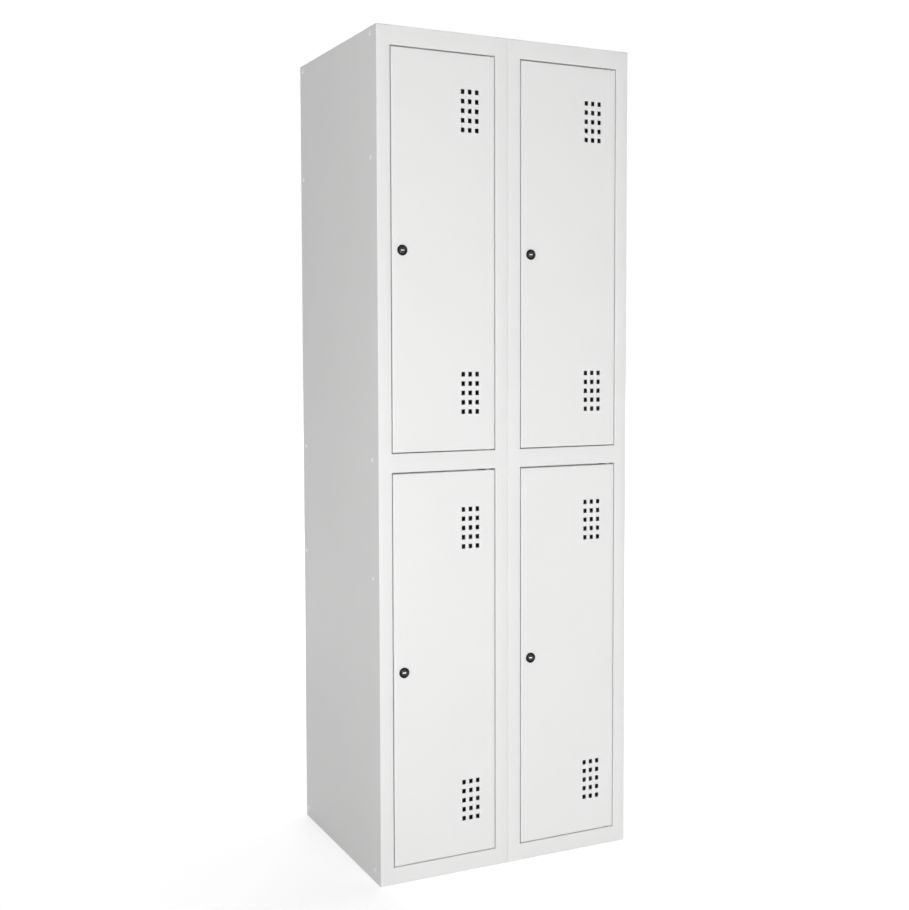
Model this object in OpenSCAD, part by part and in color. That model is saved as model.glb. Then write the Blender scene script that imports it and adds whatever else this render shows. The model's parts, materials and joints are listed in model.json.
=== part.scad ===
// Steel locker cabinet: two columns side by side, two tiers, four hinged doors with cam locks.
// Origin at the middle of the footprint, on the floor. +X to the right, +Y to the back, +Z up.

/* [Cabinet] */
// Overall width over both columns
cabinet_w = 600; // [500:1:900]
// Overall depth from the front frame to the back
cabinet_d = 500; // [350:1:700]
// Overall height
cabinet_h = 1800; // [1500:1:2100]
// Joint left between the two column carcasses
column_gap = 0.5; // [0.2:0.1:0.8]

/* [Sheet steel] */
// Thickness of the carcass sheet
sheet_t = 0.8; // [0.6:0.1:1.2]
// Thickness of the door sheet
door_t = 1; // [0.7:0.1:1.5]

/* [Front frame] */
// Face width of each upright
stile_w = 30; // [26:1:45]
// Height of the bottom rail
base_rail_h = 37; // [30:1:80]
// Height of the rail between the tiers
mid_rail_h = 40; // [32:1:80]
// Height of the top rail
top_rail_h = 40; // [32:1:80]
// Width of the lip that the closed door rests on
stop_lip = 10; // [9:0.5:12]
// Space between the closed door and the stop lip, filled by the buffers
stop_gap = 3; // [2:0.5:5]

/* [Carcass folds] */
// Depth of the down-turned flanges of the roof, floors and shelves
flange_h = 25; // [20:1:28]
// Distance from a floor or shelf face down to its fixings
fixing_drop = 13.5; // [10:0.5:15]
// Distance from the front face to the front row of fixings
fixing_front = 37; // [34:1:60]
// Distance from the back face to the rear row of fixings
fixing_rear = 20; // [14:1:40]
// Width of the side panel's rear flange
rear_flange_w = 15; // [10:1:25]
// Space between the frame folds and the front edge of a shelf
shelf_setback = 4.2; // [4:0.1:8]
// Height of the hat space above each shelf
hat_space_h = 212; // [150:1:300]
// Depth of the shelf's front fold
shelf_fold_h = 20; // [10:1:30]

/* [Doors] */
// Clearance at both side edges of each door
side_gap = 2; // [2:0.5:4]
// Clearance over each door
head_gap = 3; // [2:0.5:4]
// Clearance under each door
foot_gap = 2; // [2:0.5:4]
// Depth of the folded door
door_depth = 18; // [16:1:20]
// Width of the door's inner lip
door_lip = 10; // [6:0.5:12]
// Distance from the pivot axis to the door's hinge edge
pivot_side = 14; // [14:0.5:16]
// Distance from the pivot axis to the door's face
pivot_back = 6.5; // [6.5:0.1:6.8]
// Diameter of the pivot pins
pin_d = 6; // [4:0.5:6]
// Length of pivot pin inside its bush
pin_reach = 5; // [3:0.5:8]
// Width of the stiffener's crown
stiffener_w = 30; // [20:1:40]
// Width of each foot of the stiffener
stiffener_foot = 10; // [6:1:14]
// Distance from the door's free edge to the middle of the stiffener
stiffener_side = 95; // [80:1:105]
// Space between the stiffener's ends and the door's edges
stiffener_end = 15; // [8:1:40]

/* [Vents] */
// Number of vent holes across
vent_columns = 3; // [1:1:3]
// Number of vent holes up
vent_rows = 5; // [1:1:8]
// Width of a vent hole
vent_w = 8.5; // [5:0.5:11]
// Height of a vent hole
vent_h = 10; // [5:0.5:13]
// Pitch of the vent holes across
vent_pitch_x = 16.4; // [13:0.1:18]
// Pitch of the vent holes up
vent_pitch_z = 20; // [16:0.5:24]
// Distance from the door's hinge edge to the middle of a vent group
vent_side = 58; // [45:0.5:62]
// Distance from the door's top or bottom edge to the nearest vent row, before the groups' rise
vent_end = 80.5; // [40:0.5:120]
// Rise of both vent groups in an upper door
upper_vent_rise = 2; // [-10:0.5:10]
// Rise of both vent groups in a lower door
lower_vent_rise = -2; // [-10:0.5:10]

/* [Locks] */
// Distance from the door's free edge to the lock's axis
lock_side = 23; // [22:0.5:30]
// Height of an upper lock's axis above the middle of its opening
upper_lock_rise = 2.5; // [-10:0.5:10]
// Height of a lower lock's axis above the middle of its opening
lower_lock_rise = -4; // [-10:0.5:10]
// Diameter of the lock's face
lock_face_d = 22.5; // [21:0.5:26]
// Height of the lock's face above the door
lock_proud = 2.4; // [1.5:0.1:4]
// Diameter of the lock's threaded body
lock_body_d = 19; // [17:0.5:20]
// Width across flats of the lock's nut
lock_nut_af = 24; // [22:0.5:25]
// Thickness of the lock's nut
lock_nut_t = 4; // [3:0.5:6]
// Diameter of the turning plug
plug_d = 12; // [10:0.5:13]
// Width of the key slot
key_slot_w = 2.2; // [1.5:0.1:3]
// Length of the key slot, level while the lock is open
key_slot_len = 7.6; // [5:0.1:9]
// Length of the cam from the lock's axis to its tip
cam_len = 32; // [30:1:40]
// Width of the cam
cam_w = 16; // [14:1:18]
// Thickness of the cam
cam_t = 2.5; // [2:0.5:4]

/* [Fasteners and small parts] */
// Diameter of the rivet shanks
rivet_d = 4.8; // [3:0.1:5]
// Diameter of the rivet heads
rivet_head_d = 12; // [8:0.5:12]
// Height of the rivet heads
rivet_head_h = 1.6; // [0.6:0.1:2]
// Diameter of the bolts that join the columns
bolt_d = 6; // [4:0.5:6]
// Diameter of the rubber door buffers
buffer_d = 7; // [5:0.5:8]
// Distance from a door's top or bottom edge to its buffer
buffer_end = 150; // [100:5:200]
// Diameter of the wall fixing holes
wall_hole_d = 8; // [6:0.5:12]
// Distance from the cabinet's top down to the wall fixing holes
wall_hole_drop = 100; // [70:5:150]
// Drop of the coat hook below its plate
hook_drop = 24; // [20:1:40]
// Bend radius of the coat hook's arms
hook_bend = 14; // [10:1:18]
// Diameter of the coat hook's arms
hook_d = 6; // [5:0.5:8]

/* [Hidden] */
$fn = 48;

// Sides, tiers and hands
LEFT = 0;
RIGHT = 1;
LOWER = 0;
UPPER = 1;

// Colours
COAT = [0.9, 0.9, 0.89];
ZINC = [0.72, 0.73, 0.74];
LOCK_BLACK = [0.13, 0.13, 0.14];
STEEL = [0.6, 0.61, 0.63];
NYLON = [0.93, 0.92, 0.88];
RUBBER = [0.12, 0.12, 0.12];

// Fits
run_clear = 0.05;
seat_clear = 0.1;
body_clear = 0.3;
cut = 1;

// Carcass
column_w = (cabinet_w - column_gap) / 2;
side_h = cabinet_h - sheet_t;
opening_w = column_w - 2 * stile_w;
opening_h = (cabinet_h - base_rail_h - mid_rail_h - top_rail_h) / 2;
frame_depth = door_depth + stop_gap + sheet_t;
shelf_front = frame_depth + shelf_setback;
back_v = cabinet_d - 2 * sheet_t;
shelf_w = opening_h - hat_space_h;
fixing_rows = [fixing_front, cabinet_d - fixing_rear];

// Doors, seen from the column's left edge (u), from the front face (v) and from the opening's foot (w)
door_u = stile_w + side_gap;
door_w = opening_w - 2 * side_gap;
door_h = opening_h - foot_gap - head_gap;
pivot_u = door_u + door_w - pivot_side;
hinge_relief = side_gap + 2 * pivot_side + 3;
bush_flange_d = pin_d + 6;
bush_barrel_d = pin_d + 3;
bush_len = pin_reach + 2;
pin_collar_d = pin_d + 4;
pin_hole_h = max(foot_gap, head_gap) + door_t + cut;
pin_collar_h = 4;
pin_tail = 4;

// Locks, measured along the lock's own axis from the door's face
lock_u = door_u + lock_side;
cam_front = frame_depth + 1.2;
cam_back = cam_front + cam_t;
housing_end = cam_front - body_clear;
plug_head_d = plug_d + 2;
plug_head_seat = 1;
plug_recess = 0.4;
key_slot_deep = 12;
tail_w = 7;
cam_screw_d = 4;
cam_screw_len = 8;
cam_screw_head_d = 8.5;
cam_screw_head_h = 2.6;

// Fasteners
rivet_collar_d = rivet_d + 2.4;
rivet_collar_h = 1.4;
bolt_head_d = bolt_d + 5;
bolt_head_h = 3;
bolt_nut_h = bolt_d * 0.75;
bolt_nut_r = (bolt_d + 4) / sqrt(3);
bolt_grip = 4 * sheet_t + column_gap;
buffer_stem_d = 4;
buffer_head_d = 6;
buffer_head_h = 1.2;

// Coat hooks
hook_plate_u = 26;
hook_plate_v = 46;
hook_plate_t = 2.5;
hook_rivet_d = 4;
hook_rivet_head_d = 7;
hook_rivet_v = 15;
hook_tip_d = hook_d + 3;
hook_v = cabinet_d / 2;

function column_x(side) = -cabinet_w / 2 + side * (column_w + column_gap);
function opening_z(tier) = base_rail_h + tier * (opening_h + mid_rail_h);
function shelf_z(tier) = opening_z(tier) + shelf_w;
function lock_rise(tier) = tier == UPPER ? upper_lock_rise : lower_lock_rise;
function vent_rise(tier) = tier == UPPER ? upper_vent_rise : lower_vent_rise;
function is_outer(side, hand) = side == hand;
function fixing_d(side, hand) = (is_outer(side, hand) ? rivet_d : bolt_d) + 2 * seat_clear;
function fixing_levels() = [
    for (z = [base_rail_h, shelf_z(LOWER), opening_z(UPPER), shelf_z(UPPER), cabinet_h]) z - fixing_drop
];

// ---- places ----

// Children in a column's own frame: u from its left edge, v from the front face, z from the floor
module in_column(side) {
    translate([column_x(side), -cabinet_d / 2, 0]) children();
}

// Children in a compartment's own frame, with w from the foot of its opening
module in_opening(side, tier) {
    in_column(side) translate([0, 0, opening_z(tier)]) children();
}

// Children at the left or, mirrored, at the right side of a column
module at_hand(hand) {
    if (hand == LEFT) children();
    if (hand == RIGHT) translate([column_w, 0, 0]) mirror([1, 0, 0]) children();
}

// Children at the foot of a compartment's pivot axis
module at_foot_pivot(side, tier) {
    in_opening(side, tier) translate([pivot_u, pivot_back, 0]) children();
}

// Children upside down at the head of a compartment's pivot axis
module at_head_pivot(side, tier) {
    in_opening(side, tier) translate([pivot_u, pivot_back, opening_h]) mirror([0, 0, 1]) children();
}

// Children at both ends of a compartment's pivot axis
module at_pivots(side, tier) {
    at_foot_pivot(side, tier) children();
    at_head_pivot(side, tier) children();
}

// Children on a lock's axis, with +Z into the cabinet and +Y down
module at_lock(side, tier) {
    in_opening(side, tier) translate([lock_u, 0, opening_h / 2 + lock_rise(tier)]) rotate([-90, 0, 0]) children();
}

// Children on the axis of each fixing in one side of a column, with +Z to the column's middle
module at_fixings(side, hand, levels) {
    in_column(side) at_hand(hand)
        for (z = levels, v = fixing_rows)
            translate([0, v, z]) rotate([0, 90, 0]) children();
}

// Children at each buffer of a column, with +Z to the back
module at_buffers(side, tier) {
    in_opening(side, tier)
        for (w = [foot_gap + buffer_end, opening_h - head_gap - buffer_end])
            translate([stile_w + stop_lip / 2, frame_depth - sheet_t, w]) rotate([-90, 0, 0]) children();
}

// Children at a compartment's coat hook, on the underside of its shelf
module at_hook(side, tier) {
    in_opening(side, tier) translate([column_w / 2, hook_v, shelf_w - sheet_t]) children();
}

// ---- cuts ----

// Holes for the rivets or bolts in both sides of a column
module fixing_cuts(side, levels) {
    for (hand = [LEFT, RIGHT])
        at_fixings(side, hand, levels)
            cylinder(d = fixing_d(side, hand), h = 8 * sheet_t, center = true);
}

// Holes for the pivot bushes in the rails of a compartment
module bush_cuts(side, tier) {
    at_pivots(side, tier) cylinder(d = bush_barrel_d + 2 * seat_clear, h = 4 * sheet_t, center = true);
}

// ---- carcass ----

// Side panel: web, folded upright with its return, rear flange and, on the lock side, the stop lips
module side_panel(side, hand) {
    color(COAT) difference() {
        in_column(side) at_hand(hand) union() {
            cube([sheet_t, cabinet_d, side_h]);
            cube([stile_w, sheet_t, side_h]);
            translate([stile_w - sheet_t, 0, 0]) cube([sheet_t, frame_depth, side_h]);
            translate([0, cabinet_d - sheet_t, 0]) cube([rear_flange_w, sheet_t, side_h]);
            if (hand == LEFT)
                for (tier = [LOWER, UPPER])
                    translate([stile_w - sheet_t, frame_depth - sheet_t, opening_z(tier)])
                        cube([stop_lip + sheet_t, sheet_t, opening_h]);
        }
        fixing_cuts(side, fixing_levels());
        for (tier = [LOWER, UPPER])
            at_buffers(side, tier)
                cylinder(d = buffer_stem_d + 2 * seat_clear, h = 4 * sheet_t, center = true);
    }
}

// Flat sheet of a floor, narrow between the uprights and full width behind them
module floor_sheet(z_top) {
    translate([stile_w, 0, z_top - sheet_t]) cube([opening_w, shelf_front + cut, sheet_t]);
    translate([sheet_t, shelf_front, z_top - sheet_t])
        cube([column_w - 2 * sheet_t, back_v - shelf_front, sheet_t]);
}

// Down-turned flanges at both sides and at the back
module tray_flanges(z_top) {
    z_foot = z_top - flange_h;
    for (hand = [LEFT, RIGHT])
        at_hand(hand) translate([sheet_t, shelf_front, z_foot])
            cube([sheet_t, back_v - shelf_front, flange_h]);
    translate([sheet_t, back_v - sheet_t, z_foot]) cube([column_w - 2 * sheet_t, sheet_t, flange_h]);
}

// Rail face between the uprights, with its return at the foot
module rail(z_foot, height) {
    translate([stile_w, 0, z_foot]) cube([opening_w, sheet_t, height]);
    translate([stile_w, 0, z_foot]) cube([opening_w, frame_depth, sheet_t]);
}

// Lip below a rail that the top of a closed door rests on, cut short where the hinge edge swings
module rail_lip(z_foot) {
    translate([stile_w + stop_lip, frame_depth - sheet_t, z_foot - stop_lip])
        cube([opening_w - stop_lip - hinge_relief, sheet_t, stop_lip + sheet_t]);
}

module roof(side) {
    color(COAT) difference() {
        in_column(side) union() {
            translate([0, 0, side_h]) cube([column_w, cabinet_d, sheet_t]);
            tray_flanges(cabinet_h);
            rail(cabinet_h - top_rail_h, top_rail_h);
            rail_lip(cabinet_h - top_rail_h);
        }
        fixing_cuts(side, [cabinet_h - fixing_drop]);
        bush_cuts(side, UPPER);
    }
}

module tier_divider(side) {
    z_top = opening_z(UPPER);
    color(COAT) difference() {
        in_column(side) union() {
            floor_sheet(z_top);
            tray_flanges(z_top);
            rail(z_top - mid_rail_h, mid_rail_h);
            rail_lip(z_top - mid_rail_h);
        }
        fixing_cuts(side, [z_top - fixing_drop]);
        bush_cuts(side, LOWER);
        bush_cuts(side, UPPER);
    }
}

module base_pan(side) {
    color(COAT) difference() {
        in_column(side) union() {
            floor_sheet(base_rail_h);
            tray_flanges(base_rail_h);
            rail(0, base_rail_h);
        }
        fixing_cuts(side, [base_rail_h - fixing_drop]);
        bush_cuts(side, LOWER);
    }
}

module back_panel(side) {
    color(COAT) difference() {
        in_column(side) translate([sheet_t, back_v, 0]) cube([column_w - 2 * sheet_t, sheet_t, side_h]);
        in_column(side) translate([column_w / 2, back_v, cabinet_h - wall_hole_drop])
            rotate([90, 0, 0]) cylinder(d = wall_hole_d, h = 4 * sheet_t, center = true);
    }
}

module shelf(side, tier) {
    z_top = shelf_z(tier);
    color(COAT) difference() {
        in_column(side) union() {
            translate([sheet_t, shelf_front, z_top - sheet_t])
                cube([column_w - 2 * sheet_t, back_v - shelf_front, sheet_t]);
            tray_flanges(z_top);
            translate([sheet_t, shelf_front, z_top - shelf_fold_h])
                cube([column_w - 2 * sheet_t, sheet_t, shelf_fold_h]);
        }
        fixing_cuts(side, [z_top - fixing_drop]);
        at_hook(side, tier) hook_rivet_holes();
    }
}

// ---- small parts of the carcass ----

// Low domed head of the given diameter and height, standing on z = 0
module dome(d, h) {
    ball_r = (d * d / 4 + h * h) / (2 * h);
    intersection() {
        translate([0, 0, h - ball_r]) sphere(r = ball_r, $fn = 96);
        cylinder(d = d, h = h);
    }
}

// Blind rivet with its coned head below z = 0 and its collar above the gripped sheets
module rivet(d, head_d, head_h, grip) {
    mirror([0, 0, 1]) cylinder(d1 = head_d, d2 = d, h = head_h);
    cylinder(d = d, h = grip);
    translate([0, 0, grip]) cylinder(d = rivet_collar_d, h = rivet_collar_h);
}

module side_rivets(side) {
    color(ZINC) at_fixings(side, side, fixing_levels()) rivet(rivet_d, rivet_head_d, rivet_head_h, 2 * sheet_t);
}

// Bolts through the two middle panels and the flanges on both sides of them, each with its nut
module joining_bolts() {
    color(ZINC) in_column(LEFT)
        for (z = fixing_levels(), v = fixing_rows)
            translate([column_w - 2 * sheet_t, v, z]) rotate([0, 90, 0]) {
                mirror([0, 0, 1]) dome(bolt_head_d, bolt_head_h);
                cylinder(d = bolt_d, h = bolt_grip + bolt_nut_h + 1);
                translate([0, 0, bolt_grip]) difference() {
                    cylinder(r = bolt_nut_r, h = bolt_nut_h, $fn = 6);
                    translate([0, 0, -cut]) cylinder(r = bolt_d / 2 + run_clear, h = bolt_nut_h + 2 * cut);
                }
            }
}

// Flanged bush in a rail, its flange in the gap under or over the door
module pivot_bush(gap) {
    difference() {
        union() {
            cylinder(d = bush_flange_d, h = gap - body_clear);
            translate([0, 0, -bush_len]) cylinder(d = bush_barrel_d, h = bush_len + cut);
        }
        translate([0, 0, -bush_len - cut]) cylinder(d = pin_d + 2 * run_clear, h = bush_len + gap + 2 * cut);
    }
}

module pivot_bushes() {
    color(NYLON)
        for (side = [LEFT, RIGHT], tier = [LOWER, UPPER]) {
            at_foot_pivot(side, tier) pivot_bush(foot_gap);
            at_head_pivot(side, tier) pivot_bush(head_gap);
        }
}

// Push-in rubber buffer: pad in front of the lip, stem through it and head behind it
module buffer() {
    pad_h = stop_gap - body_clear;
    translate([0, 0, -pad_h]) cylinder(d = buffer_d, h = pad_h);
    cylinder(d = buffer_stem_d, h = sheet_t);
    translate([0, 0, sheet_t]) cylinder(d = buffer_head_d, h = buffer_head_h);
}

module door_buffers() {
    color(RUBBER)
        for (side = [LEFT, RIGHT], tier = [LOWER, UPPER]) at_buffers(side, tier) buffer();
}

module hook_rivet_holes() {
    for (v = [-hook_rivet_v, hook_rivet_v])
        translate([0, v, 0]) cylinder(d = hook_rivet_d + 2 * seat_clear, h = 4 * hook_plate_t, center = true);
}

// Double coat hook: plate under the shelf, stem and two arms bent up to round tips
module coat_hook(side, tier) {
    color(ZINC) at_hook(side, tier) difference() {
        union() {
            translate([-hook_plate_u / 2, -hook_plate_v / 2, -hook_plate_t])
                cube([hook_plate_u, hook_plate_v, hook_plate_t]);
            translate([0, 0, -hook_drop]) cylinder(d = hook_d, h = hook_drop - hook_plate_t + cut);
            for (turn = [0, 180])
                rotate([0, 0, turn]) translate([hook_bend, 0, -hook_drop]) {
                    rotate([-90, 0, 0]) rotate_extrude(angle = 180) translate([hook_bend, 0]) circle(d = hook_d);
                    translate([hook_bend, 0, 0]) sphere(d = hook_tip_d);
                }
        }
        hook_rivet_holes();
    }
}

module hook_rivets() {
    color(ZINC)
        for (side = [LEFT, RIGHT], tier = [LOWER, UPPER], v = [-hook_rivet_v, hook_rivet_v])
            at_hook(side, tier) translate([0, v, -hook_plate_t])
                rivet(hook_rivet_d, hook_rivet_head_d, rivet_head_h, hook_plate_t + sheet_t);
}

// ---- doors ----

// One group of vent holes, its outer row at w = 0 and its other rows on the dir side of it
module vent_cuts(dir) {
    for (i = [0:vent_columns - 1], j = [0:vent_rows - 1])
        translate([(i - (vent_columns - 1) / 2) * vent_pitch_x, 0, dir * j * vent_pitch_z])
            cube([vent_w, 4 * door_t, vent_h], center = true);
}

// Folded pan: skin, four returns and an inner lip all round
module door(side, tier) {
    vent_u = door_w - vent_side;
    color(COAT) difference() {
        in_opening(side, tier) translate([door_u, 0, foot_gap]) difference() {
            cube([door_w, door_depth, door_h]);
            translate([door_t, door_t, door_t])
                cube([door_w - 2 * door_t, door_depth - 2 * door_t, door_h - 2 * door_t]);
            translate([door_lip, door_depth - 2 * door_t, door_lip])
                cube([door_w - 2 * door_lip, 3 * door_t, door_h - 2 * door_lip]);
            translate([vent_u, 0, vent_rise(tier) + vent_end]) vent_cuts(1);
            translate([vent_u, 0, vent_rise(tier) + door_h - vent_end]) vent_cuts(-1);
        }
        at_lock(side, tier) cylinder(d = lock_body_d + 2 * seat_clear, h = 4 * door_t, center = true);
        at_pivots(side, tier) cylinder(d = pin_d + 2 * seat_clear, h = pin_hole_h);
    }
}

// Top-hat channel on the back of the door's skin
module stiffener(side, tier) {
    web_d = door_depth - 2 * door_t;
    length = door_h - 2 * stiffener_end;
    color(COAT) in_opening(side, tier)
        translate([door_u + stiffener_side - stiffener_w / 2, door_t, foot_gap + stiffener_end]) {
            translate([0, web_d - sheet_t, 0]) cube([stiffener_w, sheet_t, length]);
            for (u = [0, stiffener_w - sheet_t]) translate([u, 0, 0]) cube([sheet_t, web_d, length]);
            for (u = [-stiffener_foot, stiffener_w - sheet_t])
                translate([u, 0, 0]) cube([stiffener_foot + sheet_t, sheet_t, length]);
        }
}

// Pivot pin with its collar inside the door's return
module pivot_pin(gap) {
    seat_w = gap + door_t;
    translate([0, 0, -pin_reach]) cylinder(d = pin_d, h = pin_reach + seat_w + pin_collar_h + pin_tail);
    translate([0, 0, seat_w]) cylinder(d = pin_collar_d, h = pin_collar_h);
}

// Pivot pins at the foot and the head of a door
module pivot_pins(side, tier) {
    color(STEEL) {
        at_foot_pivot(side, tier) pivot_pin(foot_gap);
        at_head_pivot(side, tier) pivot_pin(head_gap);
    }
}

// ---- locks ----

// Face ring with a bevelled edge, and the threaded body behind it
module lock_housing(side, tier) {
    bevel = 1;
    color(LOCK_BLACK) at_lock(side, tier) difference() {
        union() {
            translate([0, 0, -lock_proud])
                cylinder(d1 = lock_face_d - 2 * bevel, d2 = lock_face_d, h = bevel);
            translate([0, 0, bevel - lock_proud]) cylinder(d = lock_face_d, h = lock_proud - bevel);
            cylinder(d = lock_body_d, h = housing_end);
        }
        translate([0, 0, -lock_proud - cut]) cylinder(d = plug_d + 2 * run_clear, h = cabinet_d / 4);
        translate([0, 0, -lock_proud - cut])
            cylinder(d = plug_head_d + 2 * run_clear, h = lock_proud + cut + plug_head_seat);
    }
}

module lock_nut(side, tier) {
    color(ZINC) at_lock(side, tier) translate([0, 0, door_t]) difference() {
        cylinder(d = lock_nut_af / cos(30), h = lock_nut_t, $fn = 6);
        translate([0, 0, -cut]) cylinder(d = lock_body_d + 2 * seat_clear, h = lock_nut_t + 2 * cut);
    }
}

// Turning plug with its key slot in front and its square tail through the cam
module lock_plug(side, tier) {
    face = plug_recess - lock_proud;
    color(STEEL) at_lock(side, tier) difference() {
        union() {
            translate([0, 0, face]) cylinder(d = plug_head_d, h = plug_head_seat - body_clear - face);
            cylinder(d = plug_d, h = housing_end);
            translate([-tail_w / 2, -tail_w / 2, 0]) cube([tail_w, tail_w, cam_back]);
        }
        translate([-key_slot_len / 2, -key_slot_w / 2, face - cut])
            cube([key_slot_len, key_slot_w, key_slot_deep + cut]);
        translate([0, 0, cam_back - cam_screw_len]) cylinder(d = cam_screw_d + 2 * run_clear, h = 2 * cam_screw_len);
    }
}

// Flat cam with a round end, pointing down while the lock is open
module lock_cam(side, tier) {
    color(ZINC) at_lock(side, tier) translate([0, 0, cam_front]) difference() {
        union() {
            cylinder(d = cam_w, h = cam_t);
            translate([-cam_w / 2, 0, 0]) cube([cam_w, cam_len - cam_w / 2, cam_t]);
            translate([0, cam_len - cam_w / 2, 0]) cylinder(d = cam_w, h = cam_t);
        }
        translate([-tail_w / 2 - seat_clear, -tail_w / 2 - seat_clear, -cut])
            cube([tail_w + 2 * seat_clear, tail_w + 2 * seat_clear, cam_t + 2 * cut]);
    }
}

module cam_screw(side, tier) {
    color(ZINC) at_lock(side, tier) translate([0, 0, cam_back]) {
        dome(cam_screw_head_d, cam_screw_head_h);
        translate([0, 0, -cam_screw_len + cut]) cylinder(d = cam_screw_d, h = cam_screw_len);
    }
}

side_panel(LEFT, LEFT);  // left_column_left_side
side_panel(LEFT, RIGHT);  // left_column_right_side
side_panel(RIGHT, LEFT);  // right_column_left_side
side_panel(RIGHT, RIGHT);  // right_column_right_side
roof(LEFT);  // left_roof
roof(RIGHT);  // right_roof
base_pan(LEFT);  // left_base_pan
base_pan(RIGHT);  // right_base_pan
tier_divider(LEFT);  // left_tier_divider
tier_divider(RIGHT);  // right_tier_divider
back_panel(LEFT);  // left_back_panel
back_panel(RIGHT);  // right_back_panel
shelf(LEFT, LOWER);  // lower_left_shelf
shelf(LEFT, UPPER);  // upper_left_shelf
shelf(RIGHT, LOWER);  // lower_right_shelf
shelf(RIGHT, UPPER);  // upper_right_shelf
coat_hook(LEFT, LOWER);  // lower_left_coat_hook
coat_hook(LEFT, UPPER);  // upper_left_coat_hook
coat_hook(RIGHT, LOWER);  // lower_right_coat_hook
coat_hook(RIGHT, UPPER);  // upper_right_coat_hook
hook_rivets();
side_rivets(LEFT);  // left_side_rivets
side_rivets(RIGHT);  // right_side_rivets
joining_bolts();  // column_joining_bolts
pivot_bushes();
door_buffers();
door(LEFT, LOWER);  // lower_left_door
stiffener(LEFT, LOWER);  // lower_left_stiffener
pivot_pins(LEFT, LOWER);  // lower_left_pivot_pins
lock_housing(LEFT, LOWER);  // lower_left_lock_housing
lock_nut(LEFT, LOWER);  // lower_left_lock_nut
lock_plug(LEFT, LOWER);  // lower_left_lock_plug
lock_cam(LEFT, LOWER);  // lower_left_lock_cam
cam_screw(LEFT, LOWER);  // lower_left_cam_screw
door(LEFT, UPPER);  // upper_left_door
stiffener(LEFT, UPPER);  // upper_left_stiffener
pivot_pins(LEFT, UPPER);  // upper_left_pivot_pins
lock_housing(LEFT, UPPER);  // upper_left_lock_housing
lock_nut(LEFT, UPPER);  // upper_left_lock_nut
lock_plug(LEFT, UPPER);  // upper_left_lock_plug
lock_cam(LEFT, UPPER);  // upper_left_lock_cam
cam_screw(LEFT, UPPER);  // upper_left_cam_screw
door(RIGHT, LOWER);  // lower_right_door
stiffener(RIGHT, LOWER);  // lower_right_stiffener
pivot_pins(RIGHT, LOWER);  // lower_right_pivot_pins
lock_housing(RIGHT, LOWER);  // lower_right_lock_housing
lock_nut(RIGHT, LOWER);  // lower_right_lock_nut
lock_plug(RIGHT, LOWER);  // lower_right_lock_plug
lock_cam(RIGHT, LOWER);  // lower_right_lock_cam
cam_screw(RIGHT, LOWER);  // lower_right_cam_screw
door(RIGHT, UPPER);  // upper_right_door
stiffener(RIGHT, UPPER);  // upper_right_stiffener
pivot_pins(RIGHT, UPPER);  // upper_right_pivot_pins
lock_housing(RIGHT, UPPER);  // upper_right_lock_housing
lock_nut(RIGHT, UPPER);  // upper_right_lock_nut
lock_plug(RIGHT, UPPER);  // upper_right_lock_plug
lock_cam(RIGHT, UPPER);  // upper_right_lock_cam
cam_screw(RIGHT, UPPER);  // upper_right_cam_screw
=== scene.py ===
"""Dresses the two-column steel locker cabinet: sheet metal, locks, finishes, lamps and camera."""

import json
import logging
import math
from dataclasses import dataclass
from enum import Enum, IntEnum
from typing import Sequence

import bpy
import numpy as np
from mathutils import Matrix, Vector


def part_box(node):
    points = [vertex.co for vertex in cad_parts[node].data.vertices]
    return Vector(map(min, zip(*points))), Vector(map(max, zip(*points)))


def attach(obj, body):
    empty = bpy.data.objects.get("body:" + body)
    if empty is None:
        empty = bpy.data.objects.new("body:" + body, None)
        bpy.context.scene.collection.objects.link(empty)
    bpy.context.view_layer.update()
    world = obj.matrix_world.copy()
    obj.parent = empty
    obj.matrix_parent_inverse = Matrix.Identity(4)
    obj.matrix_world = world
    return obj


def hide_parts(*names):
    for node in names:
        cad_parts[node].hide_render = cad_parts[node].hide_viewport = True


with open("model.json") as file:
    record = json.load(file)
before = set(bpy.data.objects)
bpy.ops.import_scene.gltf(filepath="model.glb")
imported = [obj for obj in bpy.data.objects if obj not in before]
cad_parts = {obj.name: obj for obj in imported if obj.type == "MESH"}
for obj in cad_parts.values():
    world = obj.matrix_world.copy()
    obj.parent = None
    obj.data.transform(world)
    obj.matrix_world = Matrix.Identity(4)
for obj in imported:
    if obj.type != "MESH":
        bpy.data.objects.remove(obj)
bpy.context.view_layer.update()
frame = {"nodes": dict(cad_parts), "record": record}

log = logging.getLogger("locker")

Array = np.ndarray
Colour = tuple[float, float, float]
Node = bpy.types.Node
Socket = bpy.types.NodeSocket

FIXED_BODY = "cabinet"

# Sheet and clearances shared by several pieces, in metres
SHEET = 0.0008
DOOR_SHEET = 0.001
SIDE_GAP = 0.002
FOOT_GAP = 0.002
HEAD_GAP = 0.003

# Steps in a bend's arc, and the least length that is divided by
ARC_STEPS = 5
TINY = 1e-9


class Side(Enum):
    """The two columns, seen from the doors."""

    LEFT = "left"
    RIGHT = "right"


class Tier(Enum):
    """The two rows of doors, from the floor up."""

    LOWER = "lower"
    UPPER = "upper"


class Zone(IntEnum):
    """What a strip of a folded pan is, from its middle out to its free edge."""

    FLAT = 0
    MARGIN = 1
    BEND = 2
    RETURN = 3
    LIP = 4


@dataclass(frozen=True)
class Span:
    """A low and a high place on one axis, or a low and a high number."""

    low: float
    high: float

    @property
    def middle(self) -> float:
        """Half way between the two."""
        return (self.low + self.high) / 2

    def inset(self, by: float) -> "Span":
        """The span with both ends moved inward."""
        return Span(self.low + by, self.high - by)


# ---------------------------------------------------------------- meshes


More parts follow.
